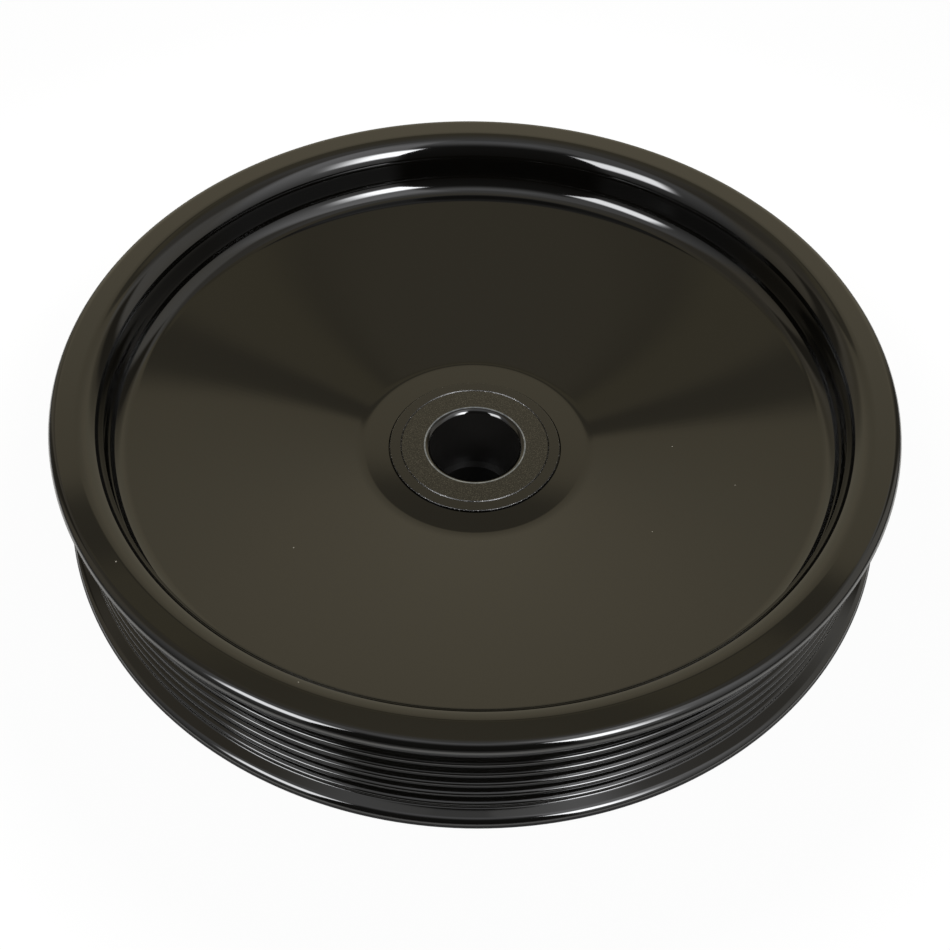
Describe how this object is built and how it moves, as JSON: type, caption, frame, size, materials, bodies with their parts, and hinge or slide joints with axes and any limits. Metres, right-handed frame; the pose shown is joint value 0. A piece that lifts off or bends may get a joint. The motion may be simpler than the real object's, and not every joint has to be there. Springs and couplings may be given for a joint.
{
  "type": "power steering pump pulley",
  "caption": "Round belt pulley of folded sheet steel with a dished web, a double top flange, a grooved belt face and a turned hub that presses onto the pump's shaft.",
  "frame": {"origin": "centre of the hub's outer end face, on which the part stands", "axes": "+Z along the bore axis, from the hub's outer end to the pump side; the part is round about Z"},
  "size_m": [0.1702, 0.1702, 0.0461],
  "materials": {
    "shell_enamel": "smooth gloss black enamel over steel",
    "hub_enamel": "thin black enamel over a grainy turned face, with a bare bright bevel at the bore"
  },
  "bodies": {
    "root": {"pulley_shell": "shell_enamel", "hub": "hub_enamel"}
  },
  "joints": []
}
